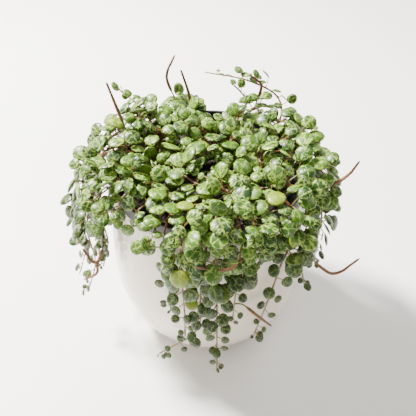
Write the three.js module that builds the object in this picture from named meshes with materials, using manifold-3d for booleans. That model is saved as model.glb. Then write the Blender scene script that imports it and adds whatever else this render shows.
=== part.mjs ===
// Potted string of turtles: a trailing peperomia rooted in a black nursery pot that hangs by its lip in a
// white ceramic cover pot. Millimetres, +Z up. The origin is the centre of the cover pot's foot, and the
// fullest cascade of vines hangs on the -Y side. Headings are degrees anticlockwise from +X, seen from above.
import * as THREE from "three";
import Module from "manifold-3d";
import { mergeVertices } from "three/addons/utils/BufferGeometryUtils.js";

const wasm = await Module();
wasm.setup();

// ---- Driving dimensions -------------------------------------------------------------------------------
const SEAT_GAP = 0.3; // between pieces that rest on each other
const ROUND_STEPS = 36; // facets round the pots

const coverPot = {
  bellyRadius: 70,
  bellyHeight: 59,
  height: 128,
  mouthRadius: 62, // outside of the rim
  footRadius: 41,
  wall: 4,
  floor: 6,
};

const nurseryPot = {
  lipOverhang: 1.3, // how far the lip stands out past the cover pot's mouth
  lipHeight: 10,
  lipThickness: 2.2,
  wall: 1.4,
  sideClearance: 1.6, // between its body and the cover pot's mouth
  airGap: 18, // between its base and the cover pot's floor
  taper: 12, // how much narrower the base's radius is
  drainHoles: 6,
  drainRadius: 4.5,
  drainCircle: 26,
};

// How far the soil's edge lies below the lip's top, and how far its middle rises above its edge.
const soil = { belowLip: 11, crownRise: 3 };

const stem = { radius: 0.95, nodeLength: 1.7, internode: 7, spacing: 2.5 };

const leaf = {
  radius: 6.1, // half the length of a full-grown leaf
  widthShare: 0.94, // width over length
  topRise: 0.9,
  undersideRise: 0.5,
  petiole: 3.2,
  spacing: 1.55, // between the middles of two leaves that lie on each other
};

const spike = { baseRadius: 1.2, tipRadius: 0.75, sides: 5, steps: 6 };

// ---- Pots and soil ------------------------------------------------------------------------------------
const lipRadius = coverPot.mouthRadius + nurseryPot.lipOverhang;
const lipUnderside = coverPot.height + SEAT_GAP;
const lipTop = lipUnderside + nurseryPot.lipHeight;
const bodyTopRadius = coverPot.mouthRadius - coverPot.wall - nurseryPot.sideClearance;
const bodyBaseRadius = bodyTopRadius - nurseryPot.taper;
const baseHeight = coverPot.floor + nurseryPot.airGap;
const soilEdge = lipTop - soil.belowLip;

// Outside radius of the cover pot: a quarter ellipse from the foot to the belly, then a slow curve in.
function coverRadiusAt(z) {
  const { bellyRadius, bellyHeight, height, mouthRadius, footRadius } = coverPot;
  if (z < bellyHeight) {
    const down = 1 - Math.max(z, 0) / bellyHeight;
    return footRadius + (bellyRadius - footRadius) * Math.sqrt(1 - down * down);
  }
  const up = (Math.min(z, height) - bellyHeight) / (height - bellyHeight);
  return bellyRadius - (bellyRadius - mouthRadius) * up * up;
}

// Inside radius of the nursery pot's tapered body.
function nurseryInnerAt(z) {
  const up = (z - baseHeight) / (lipUnderside - baseHeight);
  return bodyBaseRadius + nurseryPot.taper * Math.min(Math.max(up, 0), 1) - nurseryPot.wall;
}

const soilRadius = nurseryInnerAt(soilEdge);

function soilHeightAt(r) {
  return soilEdge + soil.crownRise * Math.max(0, 1 - (r / soilRadius) ** 2);
}

// Turns a profile of [radius, height] pairs about the vertical axis.
function turned(profile) {
  const points = profile.map(([r, z]) => new THREE.Vector2(r, z));
  return new THREE.LatheGeometry(points, ROUND_STEPS).rotateX(Math.PI / 2);
}

function coverPotGeometry() {
  const { bellyHeight, height, wall, floor, footRadius, mouthRadius } = coverPot;
  const quarterSteps = 9;
  const upperSteps = 6;
  const outside = [[0, 0], [footRadius, 0]];
  for (let i = 1; i <= quarterSteps; i++) {
    const angle = (i / quarterSteps) * (Math.PI / 2);
    const z = bellyHeight * (1 - Math.cos(angle));
    outside.push([coverRadiusAt(z), z]);
  }
  for (let i = 1; i <= upperSteps; i++) {
    const z = bellyHeight + ((height - wall / 2 - bellyHeight) * i) / upperSteps;
    outside.push([coverRadiusAt(z), z]);
  }
  const rim = [[mouthRadius - wall * 0.3, height], [mouthRadius - wall * 0.7, height]];
  const inside = outside
    .slice(3)
    .reverse()
    .map(([r, z]) => [r - wall, Math.max(z, floor)])
    .filter(([, z], i, all) => i === 0 || z < all[i - 1][1]);
  return turned([...outside, ...rim, ...inside, [0, floor]]);
}

function nurseryPotShell() {
  const { lipThickness, wall } = nurseryPot;
  const lipInner = lipRadius - lipThickness;
  const innerTop = bodyTopRadius - wall;
  return turned([
    [0, baseHeight],
    [bodyBaseRadius, baseHeight],
    [bodyTopRadius, lipUnderside],
    [lipRadius, lipUnderside],
    [lipRadius + 0.5, lipUnderside + 1.5],
    [lipRadius, lipTop - 0.6],
    [lipRadius - 0.7, lipTop],
    [lipInner, lipTop],
    [lipInner, lipUnderside + wall],
    [innerTop, lipUnderside + wall],
    [bodyBaseRadius - wall, baseHeight + wall],
    [0, baseHeight + wall],
  ]);
}

function solidOf(geometry) {
  const bare = geometry.clone();
  bare.deleteAttribute("normal");
  bare.deleteAttribute("uv");
  const merged = mergeVertices(bare, 1e-3);
  const vertProperties = new Float32Array(merged.attributes.position.array);
  const triVerts = new Uint32Array(merged.index.array);
  return new wasm.Manifold(new wasm.Mesh({ numProp: 3, vertProperties, triVerts }));
}

function geometryOf(solid) {
  const mesh = solid.getMesh();
  const geometry = new THREE.BufferGeometry();
  geometry.setAttribute("position", new THREE.BufferAttribute(mesh.vertProperties, 3));
  geometry.setIndex(new THREE.BufferAttribute(mesh.triVerts, 1));
  return geometry;
}

// The nursery pot with a ring of drain holes through its base.
function nurseryPotGeometry() {
  let pot = solidOf(nurseryPotShell());
  const { drainHoles, drainRadius, drainCircle, wall } = nurseryPot;
  for (let i = 0; i < drainHoles; i++) {
    const angle = (i / drainHoles) * 2 * Math.PI;
    const hole = new THREE.CylinderGeometry(drainRadius, drainRadius, wall * 3, 10);
    hole.rotateX(Math.PI / 2);
    hole.translate(drainCircle * Math.cos(angle), drainCircle * Math.sin(angle), baseHeight + wall / 2);
    pot = pot.subtract(solidOf(hole));
  }
  return geometryOf(pot);
}

function soilGeometry() {
  const floorTop = baseHeight + nurseryPot.wall + SEAT_GAP;
  const edgeRadius = soilRadius - SEAT_GAP;
  const profile = [[0, floorTop], [nurseryInnerAt(floorTop) - SEAT_GAP, floorTop], [edgeRadius, soilEdge]];
  for (const share of [0.75, 0.45, 0]) profile.push([edgeRadius * share, soilHeightAt(edgeRadius * share)]);
  return turned(profile);
}

// ---- Growing the vines --------------------------------------------------------------------------------
const toRadians = THREE.MathUtils.degToRad;
const UP = new THREE.Vector3(0, 0, 1);
const LIGHT = new THREE.Vector3(-0.15, -0.45, 1).normalize(); // leaves turn their faces this way
const HEART = new THREE.Vector3(0, 0, coverPot.height * 0.55); // the mound's normals point away from here

// A number from 0 to 1 that is always the same for the same inputs.
function chance(...keys) {
  let seed = 17.31;
  for (const key of keys) seed = seed * 1.618 + key * 12.9898;
  const wave = Math.sin(seed) * 43758.5453;
  return wave - Math.floor(wave);
}

const between = (low, high, share) => low + (high - low) * share;

function polar(radius, heading, z) {
  const angle = toRadians(heading);
  return new THREE.Vector3(radius * Math.cos(angle), radius * Math.sin(angle), z);
}

// A place by its heading, how far it stands out past the pots at its height, and its height over the lip.
function placeAt([heading, out, over]) {
  const z = lipTop + over;
  const side = over > 0 ? lipRadius : Math.max(lipRadius, coverRadiusAt(z));
  return polar(side + out, heading, z);
}

// True where a ball of this radius touches neither pot, soil nor the surface the pot stands on.
function clearOfPots(point, gap) {
  const r = Math.hypot(point.x, point.y);
  const inner = lipRadius - nurseryPot.lipThickness;
  if (r < inner - gap) {
    const overLedge = r > nurseryInnerAt(lipUnderside) - gap;
    const level = overLedge ? lipUnderside + nurseryPot.wall : soilHeightAt(r);
    return point.z > level + gap;
  }
  if (r < lipRadius + gap + 0.5) return point.z > lipTop + gap;
  return point.z > gap && (point.z > coverPot.height + gap || r > coverRadiusAt(point.z) + gap);
}

// Height of the leafy mound's top: a dome with a shoulder at the back left and another at the back right,
// and a dip between them.
function moundHeight(x, y) {
  const r = Math.hypot(x, y);
  const dome = 13 * Math.max(0, 1 - (r / 78) ** 2);
  const dip = 11 * Math.exp(-(((x - 4) / 17) ** 2) - ((y - 56) / 26) ** 2);
  const leftShoulder = 14 * Math.exp(-(((x + 34) / 22) ** 2) - ((y - 42) / 24) ** 2);
  const rightShoulder = 9 * Math.exp(-(((x - 38) / 22) ** 2) - ((y - 38) / 24) ** 2);
  return lipTop + 2 + dome - dip + leftShoulder + rightShoulder;
}

// Everything already grown, for keeping new growth clear of it.
const grown = { stemPoints: [], leaves: [] };

function stemIsClear(points) {
  for (const [i, point] of points.entries()) {
    if (i > 1 && !clearOfPots(point, stem.radius + SEAT_GAP)) return false;
    for (const other of grown.stemPoints) if (point.distanceTo(other.point) < stem.spacing) return false;
  }
  return true;
}

// Points down the middle of a stem, one step apart.
function walk(curve, step) {
  return curve.getSpacedPoints(Math.max(4, Math.round(curve.getLength() / step)));
}

// A vine that climbs out of the soil, crosses the lip and hangs beside the cover pot.
function trailingCurve(v, nudge, rise) {
  const heading = v.heading + nudge;
  const rootRadius = soilRadius * 0.62;
  const root = polar(rootRadius, heading - v.turn * 0.5, 0);
  root.z = soilHeightAt(rootRadius) + SEAT_GAP;
  const crest = lipTop + v.crest + Math.min(rise, 15);
  const points = [root];
  points.push(polar(rootRadius + 5, heading - v.turn * 0.4, between(root.z, crest, 0.7)));
  points.push(polar(between(rootRadius, lipRadius, 0.6), heading - v.turn * 0.2, crest));
  points.push(polar(lipRadius + 1, heading, crest - 1));
  points.push(polar(lipRadius + v.reach * 0.7, heading, lipTop - v.drop * 0.12));
  for (const share of [0.4, 0.7, 1]) {
    const z = lipTop - v.drop * share;
    const hang = Math.max(lipRadius + v.reach * (1 - v.tuck * share), coverRadiusAt(z) + 4.5);
    const out = share === 1 ? v.flick : 0;
    const aside = share === 1 ? (v.tipTurn ?? 0) : 0;
    points.push(polar(hang + out, heading + v.drift * share + aside, Math.max(z, 4)));
  }
  return new THREE.CatmullRomCurve3(points, false, "centripetal");
}

// A vine that stays on top of the soil and creeps through the mound.
function creepingCurve(v, nudge, rise) {
  const root = polar(v.root, v.heading + rise * 2.5, 0);
  root.z = soilHeightAt(v.root) + SEAT_GAP;
  const points = [root, new THREE.Vector3(root.x, root.y, between(root.z, lipTop, 0.5))];
  const way = v.heading + v.turn + nudge * 5;
  for (const share of [0.25, 0.6, 1]) {
    const reach = polar(v.run * share, way + v.curl * share, 0);
    const x = root.x + reach.x;
    const y = root.y + reach.y;
    const z = moundHeight(x, y) - v.depth + v.lift * share + Math.min(rise, 9) * 0.6;
    points.push(new THREE.Vector3(x, y, z));
  }
  return new THREE.CatmullRomCurve3(points, false, "centripetal");
}

// A young shoot that climbs out of the mound through a few chosen points.
function shootCurve(v, nudge, rise) {
  const root = placeAt(v.root);
  root.z = soilHeightAt(Math.hypot(root.x, root.y)) + SEAT_GAP;
  const points = [root, root.clone().addScaledVector(UP, 7)];
  for (const place of v.through) points.push(placeAt(place));
  points.slice(2).forEach((point, i) => {
    point.z += rise * 0.5;
    point.applyAxisAngle(UP, toRadians(nudge * 0.5 * (i + 1)));
  });
  return new THREE.CatmullRomCurve3(points, false, "centripetal");
}

// A flower spike's middle line: from beside the nearest free stem, through its bend, to its tip.
function spikeCurve(v) {
  const wanted = placeAt(v.from);
  const away = (place) => place.point.distanceTo(wanted);
  const nearest = grown.stemPoints.toSorted((a, b) => away(a) - away(b));
  const bend = placeAt(v.bend);
  const tip = placeAt(v.tip);
  for (const { point, name } of nearest.slice(0, 160)) {
    const out = bend.clone().sub(point).normalize();
    for (const turn of [0, 0.35, -0.35, 0.8, -0.8]) {
      const way = out.clone().applyAxisAngle(UP, turn);
      const start = point.clone().addScaledVector(way, stem.radius + SEAT_GAP + 0.6);
      const leaving = point.clone().addScaledVector(way, stem.radius + 4);
      const curve = new THREE.CatmullRomCurve3([start, leaving, bend, tip], false, "centripetal");
      const clear = walk(curve, 1).every((p) => {
        if (!clearOfPots(p, spike.baseRadius + SEAT_GAP)) return false;
        return grown.stemPoints.every((other) => {
          const room = stem.radius + spike.baseRadius + SEAT_GAP;
          const own = other.name === name && other.point.distanceTo(start) < 3.2;
          return other.point.distanceTo(p) > (own ? room - 0.6 : room);
        });
      });
      if (clear) return curve;
    }
  }
  throw new Error("a flower spike finds no clear way out");
}

// The first way that is clear of what has grown, trying small turns to either side and small rises.
function growStem(name, v, curveOf) {
  const turns = [0, 3, -3, 6, -6, 10, -10, 15, -15, 21, -21, 28, -28, 36, -36];
  for (const rise of [0, 3, 6, 9, 12, 15, 20, 26, 33, 41]) {
    for (const turn of turns) {
      const curve = curveOf(v, turn, rise);
      const points = walk(curve, 1.5);
      if (!stemIsClear(points)) continue;
      for (const point of points) grown.stemPoints.push({ point, name });
      return { name, v, curve, leaves: [] };
    }
  }
  throw new Error(name + " finds no clear way through the other stems");
}

// Rings of the stem: two for each node, and one at each end.
function stemFrames(vine) {
  const length = vine.curve.getLength();
  const internode = stem.internode * ((vine.v.leafSize ?? 1) < 0.6 ? 0.8 : 1);
  const count = Math.max(3, Math.floor((length - 6) / internode));
  const first = vine.v.bare ?? 5;
  const pitch = (length - first - 3) / count;
  const frames = [frameAt(vine.curve, 0)];
  for (let i = 0; i < count; i++) {
    const at = first + pitch * (i + 0.35 * (chance(i, length) - 0.5));
    frames.push(frameAt(vine.curve, at / length), frameAt(vine.curve, (at + stem.nodeLength) / length));
  }
  frames.push(frameAt(vine.curve, 1));
  return frames;
}

// Middle, direction, outward normal and side direction of a stem at a share of its length.
function frameAt(curve, share) {
  const point = curve.getPointAt(share);
  const along = curve.getTangentAt(share);
  const away = point.clone().sub(HEART).normalize().lerp(UP, 0.25);
  const out = away.addScaledVector(along, -away.dot(along));
  if (out.length() < 0.2) out.copy(new THREE.Vector3(along.z, 0.3, -along.x).cross(along));
  out.normalize();
  return { point, along, out, side: along.clone().cross(out) };
}

// ---- Leaves -------------------------------------------------------------------------------------------
// Outline angles from the leaf's base, so that the petiole's end is narrow and the tip is a corner.
const OUTLINE = [16, 72, 127, 180, 233, 288, 344].map(toRadians);

function leafRim(l, angle, share = 1) {
  return l.middle
    .clone()
    .addScaledVector(l.tipward, -l.radius * share * Math.cos(angle))
    .addScaledVector(l.across, -l.radius * leaf.widthShare * share * Math.sin(angle));
}

function leafPoints(l) {
  const points = [l.middle];
  for (let i = 0; i < 12; i++) points.push(leafRim(l, (i / 12) * 2 * Math.PI));
  for (let i = 0; i < 6; i++) points.push(leafRim(l, (i / 6) * 2 * Math.PI, 0.55));
  return points;
}

// How far a point is from a leaf, taken as a flat disc.
function distanceToLeaf(point, l) {
  const from = point.clone().sub(l.middle);
  const height = from.dot(l.face);
  const flat = Math.sqrt(Math.max(0, from.lengthSq() - height * height));
  return Math.hypot(height, Math.max(0, flat - l.radius));
}

// True if two leaves cross: the line where their planes meet runs through both discs at one place.
function leavesCross(a, b, extra) {
  const line = a.face.clone().cross(b.face);
  const sine = line.length();
  if (sine < 0.02) return false;
  line.divideScalar(sine);
  const spans = [];
  for (const [one, other] of [[a, b], [b, a]]) {
    const inPlane = line.clone().cross(one.face);
    const gap = one.middle.clone().sub(other.middle).dot(other.face);
    const toLine = gap / inPlane.dot(other.face);
    const radius = one.radius + extra;
    if (Math.abs(toLine) > radius) return false;
    const half = Math.sqrt(radius * radius - toLine * toLine);
    const centre = one.middle.clone().addScaledVector(inPlane, -toLine).dot(line);
    spans.push([centre - half, centre + half]);
  }
  return spans[0][0] < spans[1][1] && spans[1][0] < spans[0][1];
}

function leafIsClear(l, name) {
  const points = leafPoints(l);
  if (!points.every((point) => clearOfPots(point, 1.3))) return false;
  const stalk = [0.45, 0.75, 1].map((share) => l.root.clone().lerp(l.base, share));
  for (const other of grown.leaves) {
    const reach = l.radius + other.radius + leaf.petiole + 3;
    if (l.middle.distanceToSquared(other.middle) > reach * reach) continue;
    if (leavesCross(l, other, 0.7)) return false;
    if (points.some((point) => distanceToLeaf(point, other) < leaf.spacing)) return false;
    if (leafPoints(other).some((point) => distanceToLeaf(point, l) < leaf.spacing)) return false;
    if (stalk.some((point) => distanceToLeaf(point, other) < 1.3)) return false;
    for (const share of [0.4, 0.7, 1]) {
      const theirs = other.root.clone().lerp(other.base, share);
      if (distanceToLeaf(theirs, l) < 1.3) return false;
      if (stalk.some((point) => point.distanceTo(theirs) < 1.7)) return false;
    }
  }
  for (const { point, name: owner } of grown.stemPoints) {
    if (point.distanceToSquared(l.middle) > (l.radius + leaf.petiole + 4) ** 2) continue;
    if (distanceToLeaf(point, l) < stem.radius + 0.9) return false;
    const nearOwn = owner === name && point.distanceTo(l.root) < 4.5;
    if (!nearOwn && stalk.some((part) => part.distanceTo(point) < stem.radius + 1.1)) return false;
  }
  return true;
}

// A leaf on one side of a node, with its tilt and turn drawn from the trial's number.
function leafAt(frame, side, size, keys) {
  const draw = (k) => chance(...keys, k);
  const lift = toRadians(between(15, 65, draw(1)));
  const forward = between(-0.35, 0.75, draw(2));
  const stalk = frame.side.clone().multiplyScalar(side * Math.cos(lift));
  stalk.addScaledVector(frame.out, Math.sin(lift)).addScaledVector(frame.along, forward).normalize();
  const upright = between(0.25, 0.6, draw(3));
  const face = frame.out.clone().lerp(LIGHT, upright);
  face.add(new THREE.Vector3(draw(4) - 0.5, draw(5) - 0.5, draw(6) - 0.5).multiplyScalar(0.75));
  face.normalize();
  if (stalk.dot(face) < 0.25) return null;
  const tipward = stalk.clone().addScaledVector(UP, -between(0, 0.6, draw(7)));
  tipward.addScaledVector(face, -tipward.dot(face));
  if (tipward.length() < 0.15) return null;
  tipward.normalize();
  const radius = leaf.radius * size;
  const petiole = leaf.petiole * between(0.75, 1.6, draw(8)) * Math.sqrt(size);
  const root = frame.point.clone().addScaledVector(stalk, stem.radius);
  const base = root.clone().addScaledVector(stalk, petiole);
  const middle = base.clone().addScaledVector(tipward, radius * 0.92);
  return { root, base, middle, face, tipward, across: face.clone().cross(tipward), radius };
}

// Sizes along a vine: small at the root and tip, full between.
function leafSize(v, share) {
  const young = Math.min(1, 0.45 + (1 - share) * 1.35);
  const old = Math.min(1, 0.8 + share * 1.5);
  return (v.leafSize ?? 1) * young * old;
}

const TRIALS = 26;
const SHRINK = [1, 0.86, 0.72];

function growLeaf(vine, i, vineNumber) {
  const frames = vine.frames;
  const nodes = (frames.length - 2) / 2;
  const a = frames[1 + 2 * i];
  const b = frames[2 + 2 * i];
  const frame = { ...a, point: a.point.clone().lerp(b.point, 0.5) };
  const firstSide = (i + vineNumber) % 2 ? 1 : -1;
  const size = leafSize(vine.v, i / (nodes - 1)) * between(0.88, 1.1, chance(i, vineNumber, 9));
  for (const shrink of SHRINK) {
    for (let trial = 0; trial < TRIALS; trial++) {
      const side = trial < TRIALS * 0.6 ? firstSide : -firstSide;
      const l = leafAt(frame, side, size * shrink, [i, vineNumber, trial]);
      if (!l || !leafIsClear(l, vine.name)) continue;
      l.node = i;
      if (!leafSkin(vine, l)) continue;
      vine.leaves.push(l);
      grown.leaves.push(l);
      return;
    }
  }
}

// ---- Meshes of stems, leaves and spikes ---------------------------------------------------------------
class Skin {
  constructor() {
    this.points = [];
    this.faces = [];
  }
  point(p) {
    this.points.push(p.x, p.y, p.z);
    return this.points.length / 3 - 1;
  }
  where(i) {
    return new THREE.Vector3().fromArray(this.points, i * 3);
  }
  face(a, b, c) {
    this.faces.push(a, b, c);
  }
  // Joins two loops of equal length, anticlockwise as seen from the second one's far side.
  join(from, to) {
    from.forEach((a, i) => {
      const j = (i + 1) % from.length;
      this.face(a, from[j], to[j]);
      this.face(a, to[j], to[i]);
    });
  }
  geometry() {
    const geometry = new THREE.BufferGeometry();
    geometry.setAttribute("position", new THREE.Float32BufferAttribute(this.points, 3));
    geometry.setIndex(this.faces);
    return geometry;
  }
}

// Each frame with its out direction carried along the stem, so that the rings never twist.
function untwisted(frames) {
  const carried = [];
  let out = frames[0].out.clone();
  for (const frame of frames) {
    out = out.clone().addScaledVector(frame.along, -out.dot(frame.along)).normalize();
    carried.push({ ...frame, out, side: frame.along.clone().cross(out) });
  }
  return carried;
}

function around(frame, angle) {
  return frame.out.clone().multiplyScalar(Math.cos(angle)).addScaledVector(frame.side, Math.sin(angle));
}

function ringOf(skin, frame, radius, sides) {
  const angles = Array.from({ length: sides }, (_, k) => (k * 2 * Math.PI) / sides);
  return angles.map((angle) => skin.point(around(frame, angle).multiplyScalar(radius).add(frame.point)));
}

function stemRings(skin, vine) {
  const last = vine.frames.length - 1;
  return untwisted(vine.frames).map((frame, i) => {
    return ringOf(skin, frame, stem.radius * between(1, 0.65, i / last), 3);
  });
}

// Which of the stem's three sides a leaf's stalk grows from.
function stalkSide(vine, l) {
  const frame = untwisted(vine.frames)[1 + 2 * l.node];
  const way = l.base.clone().sub(l.root);
  const facing = [0, 1, 2].map((k) => around(frame, ((k + 0.5) * 2 * Math.PI) / 3).dot(way));
  return facing.indexOf(Math.max(...facing));
}

// True if an edge passes through a triangle.
function pierces([a, b], [p, q, r]) {
  const normal = q.clone().sub(p).cross(r.clone().sub(p));
  const fromA = a.clone().sub(p).dot(normal);
  const fromB = b.clone().sub(p).dot(normal);
  if (fromA * fromB >= 0) return false;
  const at = a.clone().lerp(b, fromA / (fromA - fromB));
  const inside = ([u, v]) => v.clone().sub(u).cross(at.clone().sub(u)).dot(normal) > 0;
  return [[p, q], [q, r], [r, p]].every(inside);
}

// True if any of these faces passes through any of the others.
function facesCross(skin, some, others) {
  const corners = (face) => face.map((i) => skin.where(i));
  const hits = (one, other) => {
    const edges = [[one[0], one[1]], [one[1], one[2]], [one[2], one[0]]];
    const apart = edges.filter((edge) => !edge.some((i) => other.includes(i)));
    return apart.some((edge) => pierces(corners(edge), corners(other)));
  };
  return some.some((one) => others.some((other) => one !== other && (hits(one, other) || hits(other, one))));
}

// The faces of a stalk that joins an opening in the stem to one on the leaf's underside: of the six ways to
// pair their corners, the shortest that doesn't fold through itself or the leaf. Null if there is none.
function stalkFaces(skin, opening, loop, lens) {
  const ways = [];
  for (let shift = 0; shift < 3; shift++) {
    const far = opening.map((_, i) => loop[(i + shift) % 3]);
    const span = opening.reduce((sum, o, i) => sum + skin.where(o).distanceTo(skin.where(far[i])), 0);
    for (const flip of [false, true]) {
      const faces = opening.flatMap((o, i) => {
        const j = (i + 1) % 3;
        if (flip) return [[o, opening[j], far[i]], [opening[j], far[j], far[i]]];
        return [[o, opening[j], far[j]], [o, far[j], far[i]]];
      });
      ways.push({ span, faces });
    }
  }
  ways.sort((a, b) => a.span - b.span);
  return ways.find(({ faces }) => !facesCross(skin, faces, [...faces, ...lens]))?.faces ?? null;
}

// A leaf as a low seven-sided lens, whose stalk comes out of an opening in the stem. False if it can't.
function addLeaf(skin, l, opening) {
  const top = skin.point(l.middle.clone().addScaledVector(l.face, leaf.topRise));
  const under = skin.point(l.middle.clone().addScaledVector(l.face, -leaf.undersideRise));
  const rim = OUTLINE.map((angle) => skin.point(leafRim(l, angle)));
  const lens = [];
  rim.forEach((r, i) => {
    const next = rim[(i + 1) % rim.length];
    lens.push([top, r, next]);
    if (i < rim.length - 1) lens.push([under, next, r]);
  });
  const stalk = stalkFaces(skin, opening, [under, rim[rim.length - 1], rim[0]], lens);
  for (const face of [...lens, ...(stalk ?? [])]) skin.face(...face);
  return stalk !== null;
}

// One leaf with its stalk closed off where it meets the stem, or null if the stalk would fold.
function leafSkin(vine, l) {
  const whole = new Skin();
  const rings = stemRings(whole, vine).slice(1 + 2 * l.node, 3 + 2 * l.node);
  const k = stalkSide(vine, l);
  const j = (k + 1) % 3;
  const skin = new Skin();
  const opening = [rings[0][k], rings[1][j], rings[1][k]].map((i) => skin.point(whole.where(i)));
  skin.face(opening[0], opening[2], opening[1]);
  return addLeaf(skin, l, opening) ? skin : null;
}

function vineGeometry(vine, leaves = vine.leaves) {
  const skin = new Skin();
  const last = vine.frames.length - 1;
  const rings = stemRings(skin, vine);
  skin.face(rings[0][0], rings[0][2], rings[0][1]);
  skin.face(rings[last][0], rings[last][1], rings[last][2]);
  for (let i = 0; i < last; i++) {
    const grownHere = i % 2 ? leaves.find((l) => l.node === (i - 1) / 2) : null;
    const opened = grownHere ? stalkSide(vine, grownHere) : null;
    for (let k = 0; k < 3; k++) {
      const j = (k + 1) % 3;
      const [a, b, c, d] = [rings[i][k], rings[i][j], rings[i + 1][j], rings[i + 1][k]];
      skin.face(a, b, c);
      if (k === opened) addLeaf(skin, grownHere, [a, c, d]);
      else skin.face(a, c, d);
    }
  }
  return skin.geometry();
}

// A flower spike: a slim tapering rod, with blunt ends.
function spikeGeometry(curve) {
  const skin = new Skin();
  const shares = Array.from({ length: spike.steps + 1 }, (_, i) => i / spike.steps);
  const frames = untwisted(shares.map((share) => frameAt(curve, share)));
  const rings = frames.map((frame, i) => {
    return ringOf(skin, frame, between(spike.baseRadius, spike.tipRadius, shares[i]), spike.sides);
  });
  rings.slice(1).forEach((ring, i) => skin.join(rings[i], ring));
  const end = rings[spike.steps];
  for (let k = 1; k < spike.sides - 1; k++) {
    skin.face(rings[0][0], rings[0][k + 1], rings[0][k]);
    skin.face(end[0], end[k], end[k + 1]);
  }
  return skin.geometry();
}

// ---- The vines of this plant --------------------------------------------------------------------------
// heading: where it crosses the lip. reach: how far it stands out from the lip. drop: how far below the lip
// its tip hangs. tuck: how much of the reach it gives up on the way down. drift: how far round it wanders.
// crest: its height over the lip. flick: how far the tip turns out, and tipTurn how far round. turn: how it
// bends inside the pot. leafSize: a share of the full-grown leaf.
const trailingVines = [
  // left
  { heading: 150, reach: 17, drop: 50, tuck: 0.2, drift: -4, crest: 14, flick: 3, turn: 10, leafSize: 0.95 },
  { heading: 162, reach: 23, drop: 72, tuck: 0.05, drift: 6, crest: 9, flick: 6, turn: -8, leafSize: 0.9 },
  { heading: 172, reach: 16, drop: 88, tuck: 0.1, drift: 4, crest: 8, flick: 8, turn: 8, leafSize: 0.88 },
  { heading: 181, reach: 26, drop: 92, tuck: 0, drift: 8, crest: 10, flick: 9, turn: -6, leafSize: 0.88 },
  { heading: 188, reach: 12, drop: 76, tuck: 0.1, drift: 3, crest: 6, flick: 5, turn: 6, leafSize: 0.88 },
  { heading: 197, reach: 21, drop: 96, tuck: 0, drift: 2, crest: 8, flick: 10, turn: -8, leafSize: 0.85 },
  { heading: 206, reach: 12, drop: 58, tuck: 0.2, drift: -5, crest: 7, flick: 4, turn: 5, leafSize: 0.9 },
  // front left, short
  { heading: 217, reach: 5, drop: 6, tuck: 0.2, drift: 0, crest: 5, flick: 1, turn: 6, leafSize: 0.95 },
  { heading: 230, reach: 4, drop: 5, tuck: 0.2, drift: 2, crest: 4, flick: 1, turn: -5, leafSize: 0.95 },
  // front
  { heading: 248, reach: 8, drop: 62, tuck: 0.4, drift: 3, crest: 4, flick: 1, turn: 6, leafSize: 0.88 },
  { heading: 257, reach: 13, drop: 84, tuck: 0.5, drift: 1, crest: 6, flick: 2, turn: -5, leafSize: 0.85 },
  { heading: 265, reach: 7, drop: 112, tuck: 0.4, drift: -6, crest: 3, flick: 10, tipTurn: -18, turn: 6,
    leafSize: 0.75 },
  { heading: 273, reach: 13, drop: 124, tuck: 0.5, drift: 1, crest: 6, flick: 6, turn: -6, leafSize: 0.72 },
  { heading: 282, reach: 7, drop: 68, tuck: 0.4, drift: -4, crest: 3, flick: 1, turn: 5, leafSize: 0.85 },
  { heading: 292, reach: 9, drop: 30, tuck: 0.3, drift: -3, crest: 5, flick: 1, turn: -5, leafSize: 0.9 },
  // front right
  { heading: 303, reach: 7, drop: 14, tuck: 0.3, drift: -4, crest: 5, flick: 1, turn: 6, leafSize: 0.9 },
  { heading: 315, reach: 10, drop: 90, tuck: 0.3, drift: -22, crest: 6, flick: 2, turn: -4, leafSize: 0.72 },
  { heading: 327, reach: 9, drop: 66, tuck: 0.1, drift: -4, crest: 7, flick: 5, turn: 6, leafSize: 0.85 },
  { heading: 340, reach: 14, drop: 70, tuck: 0.1, drift: 0, crest: 8, flick: 3, turn: -5, leafSize: 0.85 },
  { heading: 354, reach: 15, drop: 44, tuck: 0.2, drift: 4, crest: 9, flick: 3, turn: 6, leafSize: 0.9 },
  // back
  { heading: 14, reach: 12, drop: 60, tuck: 0.3, drift: 5, crest: 9, flick: 3, turn: -5, leafSize: 0.9 },
  { heading: 36, reach: 12, drop: 84, tuck: 0.4, drift: 5, crest: 8, flick: 3, turn: 6, leafSize: 0.88 },
  { heading: 58, reach: 10, drop: 48, tuck: 0.3, drift: 6, crest: 8, flick: 2, turn: -5, leafSize: 0.9 },
  { heading: 112, reach: 10, drop: 56, tuck: 0.3, drift: -5, crest: 8, flick: 2, turn: 6, leafSize: 0.9 },
  { heading: 132, reach: 14, drop: 82, tuck: 0.4, drift: -4, crest: 10, flick: 3, turn: -6, leafSize: 0.88 },
];

// Vines that stay on top, spaced over the soil by the golden angle.
const CREEPERS = 18;
const GOLDEN_ANGLE = 137.508;

function creepingVines() {
  const made = [];
  for (let i = 0; i < CREEPERS; i++) {
    const share = (i + 0.6) / CREEPERS;
    made.push({
      root: (soilRadius - 3) * Math.sqrt(share),
      heading: i * GOLDEN_ANGLE + 20,
      turn: 100,
      curl: 40 * (chance(i, 3) - 0.5),
      run: between(30, 44, chance(i, 1)),
      depth: between(5, 11, chance(i, 2)),
      lift: 2,
      leafSize: between(0.95, 1.08, chance(i, 4)),
    });
  }
  return made;
}

// Young shoots that stand out of the crown. Each place is a heading, a distance out past the pots and a
// height over the lip; a root's height is the soil's.
const youngShoots = [
  { root: [37, -13, 0], through: [[40, 2, 8], [48, 8, 17], [64, 0, 27], [93, -5, 33]], leafSize: 0.59 },
  { root: [58, -37, 0], through: [[62, -25, 9], [61, -10, 17], [66, -10, 23], [74, -12, 30]],
    leafSize: 0.36 },
  { root: [137, -14, 0], through: [[134, 3, 11], [137, 19, 23]], leafSize: 0.5 },
];

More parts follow.
